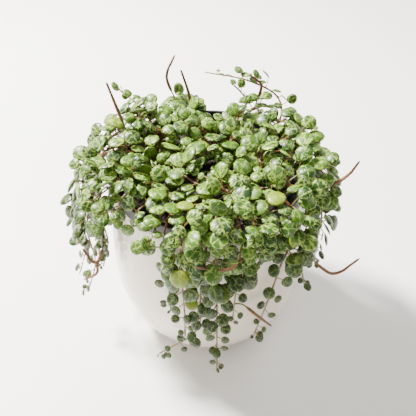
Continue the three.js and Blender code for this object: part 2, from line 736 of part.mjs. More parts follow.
// Flower spikes, by the place they leave a stem, their bend and their tip.
const flowerSpikes = [
  { from: [165, -8, 8], bend: [165, -4, 28], tip: [167, 0, 49] },
  { from: [115, 1, 10], bend: [116, 5, 28], tip: [111, 2, 44] },
  { from: [93, -13, 0], bend: [106, -10, 22], tip: [111, -10, 39] },
  { from: [53, -3, 10], bend: [55, -2, 28], tip: [62, -6, 35] },
  { from: [346, 17, 0], bend: [345, 23, 8], tip: [345, 27, 19] },
  { from: [323, 15, -41], bend: [326, 26, -48], tip: [331, 39, -35] },
  { from: [289, 11, -4], bend: [277, 17, -11], tip: [264, 17, -9] },
  { from: [285, 10, -54], bend: [292, 12, -62], tip: [298, 14, -74] },
  { from: [215, 13, -38], bend: [215, 20, -41], tip: [212, 26, -29] },
  { from: [215, 12, -48], bend: [214, 19, -52], tip: [210, 26, -60] },
];

const numbered = (kind, i) => kind + String(i + 1).padStart(2, "0");
const vines = [];
for (const [kind, list, curveOf] of [
  ["trailing_vine_", trailingVines, trailingCurve],
  ["young_shoot_", youngShoots, shootCurve],
  ["crown_vine_", creepingVines(), creepingCurve],
]) {
  list.forEach((v, i) => vines.push(growStem(numbered(kind, i), v, curveOf)));
}
for (const vine of vines) vine.frames = stemFrames(vine);
const spikeCurves = flowerSpikes.map((v, i) => {
  const curve = spikeCurve(v);
  for (const point of walk(curve, 1)) grown.stemPoints.push({ point, name: numbered("flower_spike_", i) });
  return curve;
});
const mostNodes = Math.max(...vines.map((vine) => (vine.frames.length - 2) / 2));
for (let i = 0; i < mostNodes; i++) {
  vines.forEach((vine, n) => {
    if (i < (vine.frames.length - 2) / 2) growLeaf(vine, i, n);
  });
}

// Takes off the few leaves that cross their own stem or a neighbour on it.
function shedFoldedLeaves(vine) {
  const bare = solidOf(vineGeometry(vine, []));
  const kept = [];
  for (const l of vine.leaves) {
    const solid = solidOf(leafSkin(vine, l).geometry());
    const crossing = [bare, ...kept.map((other) => other.solid)].some(
      (other) => solid.intersect(other).volume() > 1e-4,
    );
    if (!crossing && solid.volume() > 0) kept.push({ l, solid });
  }
  vine.leaves = kept.map(({ l }) => l);
}

// Takes off the few leaves that still touch another vine or a spike once every piece has its thickness.
function shedTouchingLeaves() {
  const solids = [...vines.map((vine) => vineGeometry(vine)), ...spikeCurves.map(spikeGeometry)].map(solidOf);
  const leavesOf = (n) => vines[n]?.leaves ?? [];
  for (let i = 1; i < solids.length; i++) {
    for (let j = 0; j < i; j++) {
      for (let pass = 0; pass < 5; pass++) {
        const shared = solids[i].intersect(solids[j]);
        if (shared.isEmpty() || shared.volume() < 1e-4) break;
        const { min, max } = shared.boundingBox();
        const place = new THREE.Vector3(...min).add(new THREE.Vector3(...max)).multiplyScalar(0.5);
        const far = (l) => Math.min(l.middle.distanceTo(place) - l.radius, l.base.distanceTo(place));
        const nearest = [...leavesOf(i), ...leavesOf(j)].sort((a, b) => far(a) - far(b))[0];
        for (const n of [i, j].filter((n) => leavesOf(n).includes(nearest))) {
          vines[n].leaves = vines[n].leaves.filter((l) => l !== nearest);
          solids[n] = solidOf(vineGeometry(vines[n]));
        }
      }
    }
  }
}

vines.forEach(shedFoldedLeaves);
shedTouchingLeaves();

// ---- The object ---------------------------------------------------------------------------------------
const materials = {
  ceramic: new THREE.MeshStandardMaterial({ color: 0xe9e5de, roughness: 0.35, metalness: 0 }),
  plastic: new THREE.MeshStandardMaterial({ color: 0x17181a, roughness: 0.5, metalness: 0 }),
  soil: new THREE.MeshStandardMaterial({ color: 0x2b211a, roughness: 0.95, metalness: 0 }),
  vine: new THREE.MeshStandardMaterial({ color: 0x4d7a34, roughness: 0.4, metalness: 0 }),
  spike: new THREE.MeshStandardMaterial({ color: 0x8a4b35, roughness: 0.6, metalness: 0 }),
};

const plant = new THREE.Group();

function add(name, geometry, material) {
  const mesh = new THREE.Mesh(geometry, material);
  mesh.name = name;
  plant.add(mesh);
}

add("cover_pot", coverPotGeometry(), materials.ceramic);
add("nursery_pot", nurseryPotGeometry(), materials.plastic);
add("potting_soil", soilGeometry(), materials.soil);
for (const vine of vines) add(vine.name, vineGeometry(vine), materials.vine);
spikeCurves.forEach((curve, i) => add(numbered("flower_spike_", i), spikeGeometry(curve), materials.spike));

export default plant;
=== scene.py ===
import math
import bpy
import numpy as np
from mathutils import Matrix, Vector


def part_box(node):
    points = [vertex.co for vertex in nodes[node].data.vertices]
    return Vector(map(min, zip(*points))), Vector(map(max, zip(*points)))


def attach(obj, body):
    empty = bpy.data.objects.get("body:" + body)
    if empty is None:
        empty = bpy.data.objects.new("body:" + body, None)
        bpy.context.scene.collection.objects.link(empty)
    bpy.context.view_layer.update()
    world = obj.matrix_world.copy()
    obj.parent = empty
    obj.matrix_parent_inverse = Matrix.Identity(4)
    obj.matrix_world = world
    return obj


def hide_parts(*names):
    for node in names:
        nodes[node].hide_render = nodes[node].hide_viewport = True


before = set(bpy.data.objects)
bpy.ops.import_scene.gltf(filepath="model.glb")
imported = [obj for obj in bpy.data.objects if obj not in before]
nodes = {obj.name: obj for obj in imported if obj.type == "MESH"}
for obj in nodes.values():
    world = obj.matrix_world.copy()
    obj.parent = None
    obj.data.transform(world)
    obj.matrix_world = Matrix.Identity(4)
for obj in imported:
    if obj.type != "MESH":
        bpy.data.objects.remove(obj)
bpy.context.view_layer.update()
mm = 0.001
rng = np.random.default_rng(11)
print("frame loaded:", len(nodes), "nodes")


# small helpers for arrays of vectors

def unit(v):
    return v / np.maximum(np.linalg.norm(v, axis=-1, keepdims=True), 1e-12)


def lengths(v):
    return np.linalg.norm(v, axis=-1)


def across(v, along):  # the part of v square to along
    return v - (v * along).sum(-1, keepdims=True) * along


def mix(a, b, t):
    return a + (b - a) * t


def smooth(low, high, x):  # 0 below low, 1 above high, an S curve between
    t = np.clip((x - low) / (high - low), 0, 1)
    return t * t * (3 - 2 * t)


def evenTurns(count):  # equal angles, once round
    return np.arange(count) * 2 * np.pi / count


def ringFaces(rings, around, first=0):
    # rows of four corners between rings of points that follow each other, counted from the first point
    i, k = np.meshgrid(np.arange(rings - 1), np.arange(around), indexing="ij")
    here = first + i * around
    following = here + around
    j = (k + 1) % around
    return np.stack([here + k, here + j, following + j, following + k], -1).reshape(-1, 4)


def fanFaces(pole, first, around, turnedOver=False):
    # triangles between a pole and the ring that starts at the first point
    k = np.arange(around)
    j = (k + 1) % around
    sides = (k, j) if turnedOver else (j, k)
    return np.stack([np.full(around, pole), first + sides[0], first + sides[1]], -1)


def arc(start, knee, end, t):  # from start to end, leaning to the knee between them
    return start * (1 - t) ** 2 + knee * 2 * t * (1 - t) + end * t**2


def copied(faces, count, size):  # the same faces for each of count runs of size points
    return (faces[None] + (np.arange(count) * size)[:, None, None]).reshape(-1, faces.shape[1])


def inScene(name, data):
    made = bpy.data.objects.new(name, data)
    bpy.context.scene.collection.objects.link(made)
    return made


def newPiece(name, points, faces, materials, faceMaterial=None, uv=None, attributes=None):
    # points in millimetres; faces as a list of arrays, each of rows of corner numbers
    mesh = bpy.data.meshes.new(name)
    corners = np.concatenate([f.ravel() for f in faces]).astype(np.int32)
    sizes = np.concatenate([np.full(len(f), f.shape[1]) for f in faces]).astype(np.int32)
    mesh.vertices.add(len(points))
    mesh.vertices.foreach_set("co", (np.asarray(points, np.float64) * mm).astype(np.float32).ravel())
    mesh.loops.add(len(corners))
    mesh.loops.foreach_set("vertex_index", corners)
    mesh.polygons.add(len(sizes))
    mesh.polygons.foreach_set("loop_start", np.concatenate([[0], np.cumsum(sizes)[:-1]]).astype(np.int32))
    mesh.polygons.foreach_set("loop_total", sizes)
    if faceMaterial is not None:
        mesh.polygons.foreach_set("material_index", np.asarray(faceMaterial, np.int32))
    mesh.update(calc_edges=True)
    mesh.polygons.foreach_set("use_smooth", np.ones(len(sizes), bool))
    if uv is not None:
        layer = mesh.uv_layers.new(name="UVMap")
        layer.data.foreach_set("uv", uv[corners].astype(np.float32).ravel())
    for key, values in (attributes or {}).items():
        layer = mesh.attributes.new(key, "FLOAT", "POINT")
        layer.data.foreach_set("value", np.asarray(values, np.float32))
    mesh.validate()
    for material in materials:
        mesh.materials.append(material)
    piece = inScene(name, mesh)
    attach(piece, "root")
    return piece


# camera and light

viewpoint = {"place": (-1.0, -245.7, 328.7), "lookDown": 43.2, "lens": 41.5}


def placeCamera():
    data = bpy.data.cameras.new("plantCamera")
    data.lens = viewpoint["lens"]
    data.sensor_width = 36
    data.clip_start = 0.01
    camera = inScene("plantCamera", data)
    camera.location = [v * mm for v in viewpoint["place"]]
    camera.rotation_euler = (math.radians(90 - viewpoint["lookDown"]), 0, 0)
    bpy.context.scene.camera = camera


studio = {
    "lamps": {  # places and sizes in metres, powers in watts
        "window": {"place": (-0.75, 0.5, 1.15), "size": 0.26, "power": 128, "colour": (1.0, 0.975, 0.93)},
        "fill": {"place": (-0.7, -1.0, 0.9), "size": 0.9, "power": 8, "colour": (1.0, 0.98, 0.95)},
        "back": {"place": (0.8, 0.5, 1.1), "size": 1.0, "power": 12, "colour": (1.0, 0.98, 0.94)},
    },
    "aim": (0, 0, 0.09), "airColour": (0.97, 0.94, 0.88), "airStrength": 0.42,
    "floorColour": (0.95, 0.94, 0.925), "floorHalf": 4,
}


def softLamp(name, place, size, power, colour):
    data = bpy.data.lights.new(name, "AREA")
    data.shape = "DISK"
    data.size = size
    data.energy = power
    data.color = colour
    lamp = inScene(name, data)
    lamp.location = place
    aim = np.array(studio["aim"]) - np.array(place)
    tilt = math.acos(-aim[2] / np.linalg.norm(aim))
    lamp.rotation_euler = (tilt, 0, math.atan2(aim[1], aim[0]) - math.pi / 2)


def buildStudio():
    s = studio
    for name, lamp in s["lamps"].items():
        softLamp(name + "Light", **lamp)
    world = bpy.data.worlds.new("studioAir")
    world.use_nodes = True
    air = {"Color": (*s["airColour"], 1), "Strength": s["airStrength"]}
    setInputs(world.node_tree.nodes["Background"], air)
    bpy.context.scene.world = world
    mesh = bpy.data.meshes.new("studioFloor")
    half = s["floorHalf"]
    corners = [(-half, -half, 0), (half, -half, 0), (half, half, 0), (-half, half, 0)]
    mesh.from_pydata(corners, [], [(0, 1, 2, 3)])
    floor = inScene("studioFloor", mesh)
    material, tree, shader = newMaterial("paleFloor", 0.55)
    shader.inputs["Base Color"].default_value = (*s["floorColour"], 1)
    mesh.materials.append(material)


# node material helpers

def setInputs(made, values):
    for key, value in values.items():
        made.inputs[key].default_value = value


def newMaterial(name, roughness):
    material = bpy.data.materials.new(name)
    material.use_nodes = True
    tree = material.node_tree
    shader = tree.nodes["Principled BSDF"]
    shader.inputs["Roughness"].default_value = roughness
    return material, tree, shader


def node(tree, kind, inputs=None, **settings):
    made = tree.nodes.new(kind)
    for key, value in settings.items():
        setattr(made, key, value)
    for key, value in (inputs or {}).items():
        if isinstance(value, bpy.types.NodeSocket):
            tree.links.new(value, made.inputs[key])
        else:
            made.inputs[key].default_value = value
    return made


def calc(tree, operation, a, b=0.0, c=0.0):
    return node(tree, "ShaderNodeMath", {0: a, 1: b, 2: c}, operation=operation).outputs[0]


def times(tree, a, b):
    return calc(tree, "MULTIPLY", a, b)


def plus(tree, a, b):
    return calc(tree, "ADD", a, b)


def mixNumber(tree, low, high, share):
    return calc(tree, "MULTIPLY_ADD", share, high - low, low)


def arrows(tree, operation, a, b):
    return node(tree, "ShaderNodeVectorMath", {0: a, 1: b}, operation=operation).outputs[0]


def parted(tree, vector):
    return node(tree, "ShaderNodeSeparateXYZ", {0: vector}).outputs


def blend(tree, a, b, share):  # a colour between a and b
    a, b = [c if isinstance(c, bpy.types.NodeSocket) else (*c, 1) for c in (a, b)]
    return node(tree, "ShaderNodeMix", {0: share, 6: a, 7: b}, data_type="RGBA").outputs[2]


def ramp(tree, value, low, high):  # an S curve from 0 at low to 1 at high
    made = node(tree, "ShaderNodeMapRange", {0: value, 1: low, 2: high}, interpolation_type="SMOOTHSTEP")
    return made.outputs[0]


def attribute(tree, name):
    return node(tree, "ShaderNodeAttribute", attribute_name=name).outputs["Fac"]


def bump(tree, height, distance, strength=1.0):
    settings = {"Height": height, "Distance": distance, "Strength": strength}
    return node(tree, "ShaderNodeBump", settings).outputs[0]


def placeOnObject(tree):
    return node(tree, "ShaderNodeTexCoord").outputs["Object"]


def noise(tree, where, scale, detail, output="Fac", **more):
    settings = {"Vector": where, "Scale": scale, "Detail": detail, **more}
    return node(tree, "ShaderNodeTexNoise", settings).outputs[output]


def cellDistance(tree, where, scale):  # how far a point is from the middle of its cell
    return node(tree, "ShaderNodeTexVoronoi", {"Vector": where, "Scale": scale}).outputs["Distance"]


def startGroup(name, inputs, outputs):
    # a shader node group with named float or vector sockets
    group = bpy.data.node_groups.new(name, "ShaderNodeTree")
    for way, sockets in (("INPUT", inputs), ("OUTPUT", outputs)):
        for key, kind in sockets.items():
            group.interface.new_socket(key, in_out=way, socket_type="NodeSocket" + kind)
    return group, group.nodes.new("NodeGroupInput").outputs, group.nodes.new("NodeGroupOutput").inputs


def useGroup(tree, group, inputs):
    return node(tree, "ShaderNodeGroup", inputs, node_tree=group).outputs


def lengthOf(tree, a, b):  # the root of the two squares' sum
    return calc(tree, "POWER", plus(tree, times(tree, a, a), times(tree, b, b)), 0.5)


def dress(tree, shader, colour, normal, roughness=None):
    tree.links.new(colour, shader.inputs["Base Color"])
    tree.links.new(normal, shader.inputs["Normal"])
    if roughness is not None:
        tree.links.new(roughness, shader.inputs["Roughness"])


# leaf finish: the turtle-shell net of pale veins

leafLook = {
    "cellDark": (0.006, 0.032, 0.0008), "cellLight": (0.054, 0.128, 0.0015), "margin": (0.15, 0.29, 0.005),
    # the two hanging colours are painted shade: darker greens that stand in for the shade on the leaves that
    # hang below the crown
    "vein": (0.36, 0.52, 0.085), "hangingCellPaintedShade": (0.008, 0.018, 0.0013), "hangingVeinPaintedShade": (0.15, 0.2, 0.042),
    "yellowed": (0.27, 0.35, 0.008), "yellowedFrom": 0.97, "cells": 2.7, "ribTurn": 0.36, "wander": 0.26,
    "veinWidths": (0.045, 0.1), "veinStrengths": (0.6, 1.0), "veinDepth": 0.00022, "shine": 0.33,
    "underside": (0.08, 0.16, 0.006), "undersideVein": (0.14, 0.25, 0.02), "undersideVeinWidth": 0.07,
}


def shellVeins():
    # ribs fan from the leaf's base, with the edges of large cells between them; slow noise bends both, and
    # they are faint where a patch noise is low. Where it is high the leaf is also pale at its middle.
    inputs = {"Leaf": "Vector", "Seed": "Float", "Width": "Float"}
    group, given, out = startGroup("shellVeins", inputs, {"Veins": "Float", "Margin": "Float"})
    g = group
    look = leafLook
    centred = arrows(g, "SUBTRACT", given["Leaf"], (0.5, 0.5, 0))
    seeded = node(g, "ShaderNodeCombineXYZ", {2: times(g, given["Seed"], 37.0)}).outputs[0]
    place = arrows(g, "ADD", centred, seeded)
    wobble = arrows(g, "SUBTRACT", noise(g, place, 5.5, 1.5, "Color"), (0.5, 0.5, 0.5))
    wander = {0: wobble, "Scale": look["wander"]}
    wobble = node(g, "ShaderNodeVectorMath", wander, operation="SCALE").outputs[0]
    cellInputs = {"Vector": arrows(g, "ADD", place, wobble), "Scale": look["cells"], "Randomness": 0.85}
    cells = node(g, "ShaderNodeTexVoronoi", cellInputs, feature="DISTANCE_TO_EDGE", voronoi_dimensions="3D")
    net = ramp(g, calc(g, "DIVIDE", cells.outputs["Distance"], given["Width"]), 1.2, 0.15)

    bent = parted(g, arrows(g, "ADD", centred, wobble))
    x = calc(g, "ABSOLUTE", bent[0])
    up = plus(g, bent[1], 0.47)
    fan = calc(g, "PINGPONG", calc(g, "ARCTAN2", x, up), look["ribTurn"])  # a rib at every second turn
    ribs = ramp(g, calc(g, "DIVIDE", times(g, fan, lengthOf(g, x, up)), given["Width"]), 0.7, 0.1)

    patch = noise(g, place, 4.2, 2.0)
    both = calc(g, "MAXIMUM", times(g, net, 0.9), ribs)
    strength = mixNumber(g, 0.25, 1.0, ramp(g, patch, 0.36, 0.58))
    flat = parted(g, centred)
    far = lengthOf(g, flat[0], flat[1])
    pale = times(g, ramp(g, far, 0.36, 0.02), mixNumber(g, 0.0, 0.4, ramp(g, patch, 0.5, 0.7)))
    g.links.new(calc(g, "MAXIMUM", times(g, both, strength), pale), out["Veins"])
    g.links.new(ramp(g, far, 0.43, 0.485), out["Margin"])
    return group


def leafMaterial(name, roughness):
    material, tree, shader = newMaterial(name, roughness)
    setInputs(shader, {"Subsurface Weight": 0.06, "Subsurface Scale": 0.002})
    uv = node(tree, "ShaderNodeUVMap", uv_map="UVMap").outputs[0]
    return material, tree, shader, uv, attribute(tree, "leafSeed")


def leafUpperMaterial(veins):
    # leafSeed sets the tone and the net, leafKind how wide and strong the veins are, and the hang attribute
    # leads from the crown's bright leaves to darker ones that hang: painted shade, a darkening that stands
    # in for the shade they hang in
    material, tree, shader, uv, seed = leafMaterial("leafUpper", 0.3)
    look = leafLook
    hangShade = attribute(tree, "leafHangShade")
    kind = attribute(tree, "leafKind")
    cloud = noise(tree, placeOnObject(tree), 420.0, 3.0)
    width = mixNumber(tree, *look["veinWidths"], kind)
    seen = useGroup(tree, veins, {"Leaf": uv, "Seed": seed, "Width": width})
    tone = ramp(tree, plus(tree, times(tree, seed, 0.75), times(tree, cloud, 0.5)), 0.25, 1.0)
    cell = blend(tree, look["cellDark"], look["cellLight"], tone)
    # painted shade: the cells and veins darken towards the hanging colours as the leaf hangs lower, standing
    # in for the shade there
    cell = blend(tree, cell, look["hangingCellPaintedShade"], times(tree, hangShade, 0.7))
    vein = blend(tree, look["vein"], look["hangingVeinPaintedShade"], hangShade)
    otherDraw = calc(tree, "FRACT", times(tree, kind, 7.0))
    amount = times(tree, seen["Veins"], mixNumber(tree, *look["veinStrengths"], otherDraw))
    colour = blend(tree, cell, vein, amount)
    # painted shade too: the pale margin is fainter on hanging leaves
    edge = times(tree, seen["Margin"], mixNumber(tree, 0.8, 0.45, hangShade))
    colour = blend(tree, colour, look["margin"], edge)
    old = ramp(tree, attribute(tree, "leafAge"), look["yellowedFrom"], look["yellowedFrom"] + 0.02)
    colour = blend(tree, colour, look["yellowed"], times(tree, old, 0.5))
    sunken = calc(tree, "MULTIPLY_ADD", seen["Veins"], -0.7, times(tree, cloud, 0.5))
    roughness = mixNumber(tree, look["shine"], look["shine"] + 0.14, cloud)
    dress(tree, shader, colour, bump(tree, sunken, look["veinDepth"]), roughness)
    setInputs(shader, {"Specular IOR Level": 0.35, "Coat Weight": 0.12, "Coat Roughness": 0.14})
    return material


def leafUnderMaterial(veins):
    material, tree, shader, uv, seed = leafMaterial("leafUnderside", 0.42)
    look = leafLook
    seen = useGroup(tree, veins, {"Leaf": uv, "Seed": seed, "Width": look["undersideVeinWidth"]})
    cloud = noise(tree, placeOnObject(tree), 500.0, 3.0)
    colour = blend(tree, look["underside"], look["undersideVein"], times(tree, seen["Veins"], 0.5))
    colour = blend(tree, colour, look["cellLight"], times(tree, ramp(tree, cloud, 0.4, 0.8), 0.6))
    dress(tree, shader, colour, bump(tree, cloud, 0.0001))
    return material


stemLook = {
    "young": (0.20, 0.15, 0.04), "old": (0.17, 0.06, 0.022),
    "streak": (0.07, 0.022, 0.012), "stalk": (0.17, 0.16, 0.04),
}


def stemMaterial():
    material, tree, shader = newMaterial("redBrownStem", 0.42)
    look = stemLook
    where = placeOnObject(tree)
    streaks = noise(tree, where, 260.0, 4.0)
    grain = noise(tree, where, 1500.0, 2.0)
    colour = blend(tree, look["old"], look["young"], attribute(tree, "stemYouth"))
    colour = blend(tree, colour, look["stalk"], times(tree, attribute(tree, "stalkShare"), 0.8))
    colour = blend(tree, colour, look["streak"], times(tree, ramp(tree, streaks, 0.5, 0.75), 0.65))
    dress(tree, shader, colour, bump(tree, grain, 0.00012), mixNumber(tree, 0.34, 0.55, streaks))
    return material


spikeLook = {"tip": (0.12, 0.035, 0.02), "middle": (0.17, 0.075, 0.022), "base": (0.2, 0.15, 0.035)}


def spikeMaterial():
    material, tree, shader = newMaterial("flowerSpike", 0.55)
    look = spikeLook
    where = placeOnObject(tree)
    share = attribute(tree, "spikeShare")
    beads = cellDistance(tree, where, 1900.0)
    cloud = noise(tree, where, 300.0, 3.0)
    colour = blend(tree, look["base"], look["middle"], ramp(tree, share, 0.05, 0.45))
    colour = blend(tree, colour, look["tip"], ramp(tree, share, 0.4, 1.0))
    colour = blend(tree, colour, look["base"], times(tree, ramp(tree, cloud, 0.5, 0.7), 0.45))
    dress(tree, shader, colour, bump(tree, beads, 0.00035))
    return material


# reading the vines: each leaf is a low seven-sided lens, and each stem a run of three-cornered rings

lens = {"points": 7, "rise": 0.9, "belowMiddle": 0.5, "tolerance": 0.03}
vineRoots = {"within": 54, "corners": 3}  # a vine's lowest ring is this near the pot's axis
cornerGrid = 500  # corners are rounded to this many steps in a millimetre


def weldedPoints(obj):
    # the node's different corners in millimetres, and its triangles as rows of three of them
    mesh = obj.data
    flat = np.empty(len(mesh.vertices) * 3, np.float32)
    mesh.vertices.foreach_get("co", flat)
    corner = np.empty(len(mesh.loops), np.int32)
    mesh.loops.foreach_get("vertex_index", corner)
    places = flat.reshape(-1, 3).astype(np.float64) / mm
    grid, back = np.unique(np.round(places * cornerGrid).astype(np.int64), axis=0, return_inverse=True)
    return grid / cornerGrid, back.ravel()[corner].reshape(-1, 3)


def neighboursOf(count, triangles):
    near = [set() for _ in range(count)]
    for a, b, c in triangles.tolist():
        near[a].update((b, c))
        near[b].update((a, c))
        near[c].update((a, b))
    return near


def readLeaf(points, near, top):
    # a leaf's middle, face, tip direction and half length, from the corner at its top, or None
    ring = sorted(near[top])
    if len(ring) != lens["points"]:
        return None
    rim = points[ring]
    _, _, turn = np.linalg.svd(rim - rim.mean(0))
    face = turn[2] * np.sign(((points[top] - rim.mean(0)) @ turn[2]) or 1)
    lift = (points[top] - rim.mean(0)) @ face
    uneven = max(np.abs((rim - rim.mean(0)) @ face).max(), abs(lift - lens["rise"]))
    if uneven > lens["tolerance"]:
        return None
    middle = points[top] - face * lens["rise"]
    arms = rim - middle
    angle = np.arctan2(arms @ turn[1], arms @ turn[0])
    order = np.argsort(angle)
    turned = arms[order]
    gap = lengths(turned - np.roll(turned, -1, 0))
    foot = int(np.argmin(gap))  # the rim's shortest side is at the leaf's base
    tipward = -unit(across(turned[foot] + turned[(foot + 1) % len(turned)], face))
    radius = lengths(arms).max()
    return {"middle": middle, "face": face, "tipward": tipward, "radius": radius, "rim": ring}


def ringsFrom(ring, near, allowed):  # the rings of corners met one after another, starting at this one
    rings, seen = [], set()
    while ring:
        rings.append(sorted(ring))
        seen |= ring
        ring = {n for i in ring for n in near[i]} & allowed - seen
    return rings, seen


def readVine(obj):
    # its leaves, the middles of its stem's rings from the root to the tip, and what didn't fit that reading
    points, triangles = weldedPoints(obj)
    near = neighboursOf(len(points), triangles)
    leaves, used = [], set()
    for i in range(len(points)):
        leaf = readLeaf(points, near, i)
        if leaf:
            leaves.append(leaf)
            used.add(i)
            used.update(leaf["rim"])
    for leaf in leaves:  # the point under each leaf's middle
        low = lengths(points - (leaf["middle"] - leaf["face"] * lens["belowMiddle"]))
        leaf["under"] = int(np.argmin(low))
        used.add(leaf["under"])
    free = np.array([i for i in range(len(points)) if i not in used])
    inside = free[np.hypot(points[free, 0], points[free, 1]) < vineRoots["within"]]
    lowest = inside[np.argsort(points[inside, 2])[:vineRoots["corners"]]]
    allowed = set(free.tolist())
    rings, seen = ringsFrom(set(lowest.tolist()), near, allowed)
    middles = np.array([points[r].mean(0) for r in rings])
    for leaf in leaves:
        touching = sorted({n for i in [leaf["under"], *leaf["rim"]] for n in near[i]} & allowed)
        leaf["root"] = points[touching].mean(0) if touching else leaf["middle"]
    odd = sum(len(r) != vineRoots["corners"] for r in rings)
    return {"leaves": leaves, "middles": middles, "odd": odd, "left": len(allowed - seen)}


vineNames = [n for n in sorted(nodes) if n.startswith(("trailing_vine", "crown_vine", "young_shoot"))]
vines = {name: readVine(nodes[name]) for name in vineNames}
print("vines read:", len(vines), "with", sum(len(v["leaves"]) for v in vines.values()), "leaves; odd rings",
      sum(v["odd"] for v in vines.values()), "points left over", sum(v["left"] for v in vines.values()))


# the pots' measures, from their nodes

def outlineOf(name):
    # the heights of the node's corners, with its largest and smallest radius about its own axis at each
    points, _ = weldedPoints(nodes[name])
    low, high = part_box(name)
    centre = np.array([(low.x + high.x) / 2, (low.y + high.y) / 2]) / mm
    radii = np.hypot(points[:, 0] - centre[0], points[:, 1] - centre[1])
    heights = np.unique(np.round(points[:, 2], 2))
    level = [radii[np.abs(points[:, 2] - h) < 0.02] for h in heights]
    return heights, np.array([r.max() for r in level]), np.array([r.min() for r in level])


coverHeights, coverRadii, _ = outlineOf("cover_pot")
coverTop = coverHeights[-1]
bellyRadius = coverRadii.max()
lipHeights, lipRadii, innerRadii = outlineOf("nursery_pot")
lipTop = lipHeights[-1]
lipRadius = lipRadii.max()
soilHeights, soilRadii, _ = outlineOf("potting_soil")
soilTop = soilHeights[-1]
soilRim = soilRadii.max()
soilEdge = soilHeights[np.argmax(soilRadii)]
print("pots measured: lip", round(lipRadius, 1), "at", round(lipTop, 1))


def clearOfPots(points, gap):
    # true where points in millimetres keep this far from the table, the soil and the pots: inside the lip
    # and over the soil or the lip's ledge, outside the lip and the cover pot's side, or over the lip
    r = np.hypot(points[..., 0], points[..., 1])
    z = points[..., 2]
    ledge = np.where(r > soilRim - 1 - gap, lipTop - 7, soilTop)
    inside = (r < lipRadius - 2 - gap) & (z > ledge + gap)
    outside = (r > np.interp(z, coverHeights, coverRadii) + gap) & (r > lipRadius + 0.5 + gap)
    return (z > gap) & (inside | outside | (z > lipTop + gap))


# tubes for stems, leaf stalks and spikes

def tubes(paths, radii, sides):
    # a circle carried along each path, square to it, with a pole at each end; paths is tubes x steps x 3
    count, steps = radii.shape
    along = unit(np.gradient(paths, axis=1))
    spread = np.einsum("nsi,nsj->nij", along, along)
    _, axes = np.linalg.eigh(spread)
    flat = axes[:, None, :, 0]
    u = unit(across(np.broadcast_to(flat, along.shape), along))
    w = np.cross(along, u)
    angle = evenTurns(sides)
    ring = u[:, :, None] * np.cos(angle)[:, None] + w[:, :, None] * np.sin(angle)[:, None]
    skin = paths[:, :, None] + ring * radii[:, :, None, None]
    bulge = 0.6  # how far a pole stands out, as a share of the radius
    start = paths[:, 0] - along[:, 0] * radii[:, :1] * bulge
    end = paths[:, -1] + along[:, -1] * radii[:, -1:] * bulge
    points = np.concatenate([skin.reshape(count, -1, 3), np.stack([start, end], 1)], 1)
    size = points.shape[1]
    caps = np.concatenate([fanFaces(size - 2, 0, sides), fanFaces(size - 1, size - 2 - sides, sides, True)])
    return points.reshape(-1, 3), copied(ringFaces(steps, sides), count, size), copied(caps, count, size)


def resample(path, step):
    # even steps along a smooth curve through the path's points, with a cubic between each two
    before = np.concatenate([[2 * path[0] - path[1]], path, [2 * path[-1] - path[-2]]])
    p0, p1, p2, p3 = before[:-3], before[1:-2], before[2:-1], before[3:]
    t = np.linspace(0, 1, 9)[:-1][None, :, None]
    slope, bend, twist = p2 - p0, 2 * p0 - 5 * p1 + 4 * p2 - p3, 3 * p1 - p0 - 3 * p2 + p3
    curve = 0.5 * (2 * p1[:, None] + slope[:, None] * t + bend[:, None] * t**2 + twist[:, None] * t**3)
    curve = np.concatenate([curve.reshape(-1, 3), path[-1:]])
    length = np.concatenate([[0], np.cumsum(lengths(np.diff(curve, axis=0)))])
    at = np.linspace(0, length[-1], max(4, int(length[-1] / step)))
    return np.stack([np.interp(at, length, curve[:, k]) for k in range(3)], 1)


# leaf shape

leafShape = {
    "segments": 12, "topShares": (0.5, 0.86), "underShares": (0.72,), "dome": 1.0, "belly": 0.45,
    "width": 0.97, "notch": 0.08, "point": 0.07, "ripple": 0.025, "fold": 0.08, "cup": 0.15,
    "notchSpread": 0.33, "pointSpread": 0.38, "edgePower": 2.2,
    "fullRadius": 5.5,  # a leaf of this size has the whole dome
}


def leafGrid():
    # rings of the leaf's outline shrunk by shares, from a pole on top to a pole beneath
    s = leafShape
    shares = [*s["topShares"], 1.0, *s["underShares"]]
    onTop = [*[1.0] * len(s["topShares"]), 0.0, *[-1.0] * len(s["underShares"])]
    angle = evenTurns(s["segments"])
    share = np.concatenate([[0], np.repeat(shares, s["segments"]), [0]])
    side = np.concatenate([[1], np.repeat(onTop, s["segments"]), [-1]])
    turn = np.concatenate([[0], np.tile(angle, len(shares)), [0]])
    n, rings = s["segments"], len(shares)
    quads = ringFaces(rings, n, 1)
    upper = np.repeat(np.arange(rings - 1) < len(s["topShares"]), n)
    lastRing = 1 + n * (rings - 1)
    faces = [quads[upper], fanFaces(0, 1, n), quads[~upper], fanFaces(lastRing + n, lastRing, n, True)]
    return share, side, turn, faces  # the first two arrays of faces are the leaf's top


